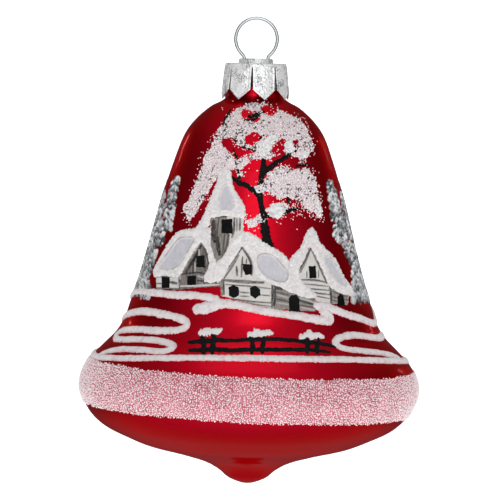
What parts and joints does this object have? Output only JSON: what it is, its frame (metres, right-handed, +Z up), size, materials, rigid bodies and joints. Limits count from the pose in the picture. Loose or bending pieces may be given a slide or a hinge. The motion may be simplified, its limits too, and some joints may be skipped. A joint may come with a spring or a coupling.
{
  "type": "christmas bell ornament",
  "caption": "Blown glass bell ornament, closed underneath, with a stamped crown cap, a wire hanging loop and a winter village in raised snow, glitter and paint.",
  "frame": {"origin": "the hanging point: the inside of the wire loop at its top", "axes": "+Z up along the bell's axis, -Y towards the decorated front, +X to the right as the front is seen"},
  "size_m": [0.0808, 0.0808, 0.1103],
  "materials": {
    "red_lacquered_glass": "satin red metallic lacquer, opaque",
    "stamped_silver_cap": "bright, with a pressed grain inside each petal",
    "spring_wire": "drawn bright wire",
    "rose_glitter": "coarse clear grains over rose size",
    "white_glitter": "coarse clear and white grains",
    "snow_paste": "piped paste with fine grain",
    "white_relief_paint": "thick brushed paint",
    "timber_paint": "brushed siding strokes over cream",
    "fir_paint": "dry brushed grey and white",
    "black_paint": "brushed enamel"
  },
  "bodies": {
    "glass": {"glass_body": "red_lacquered_glass", "glitter_band": "rose_glitter", "lower_snow_line": "snow_paste", "left_snow_drift": "snow_paste", "centre_snow_drift": "snow_paste", "right_snow_drift": "snow_paste", "back_snow_drift": "snow_paste", "left_snow_loops": "snow_paste", "right_snow_loop": "snow_paste", "tree_trunk": "black_paint", "tree_snow": "white_glitter", "church_tower": "timber_paint", "church_snow": "white_relief_paint", "left_cottage": "timber_paint", "left_cottage_snow": "white_relief_paint", "middle_cottage": "timber_paint", "middle_cottage_snow": "white_relief_paint", "right_cottage": "timber_paint", "right_cottage_snow": "white_relief_paint", "left_firs": "fir_paint", "right_firs": "fir_paint", "fence": "black_paint", "fence_snow": "snow_paste"},
    "cap": {"crown_cap": "stamped_silver_cap"},
    "hanger": {"hanger_wire": "spring_wire"}
  },
  "joints": [
    {"name": "cap_lift", "type": "slide", "parent": "glass", "child": "cap", "axis": [0, 0, 1], "range_m": [0, 0.025]},
    {"name": "hanger_slide", "type": "slide", "parent": "cap", "child": "hanger", "axis": [0, 0, 1], "range_m": [0, 0.004]}
  ]
}
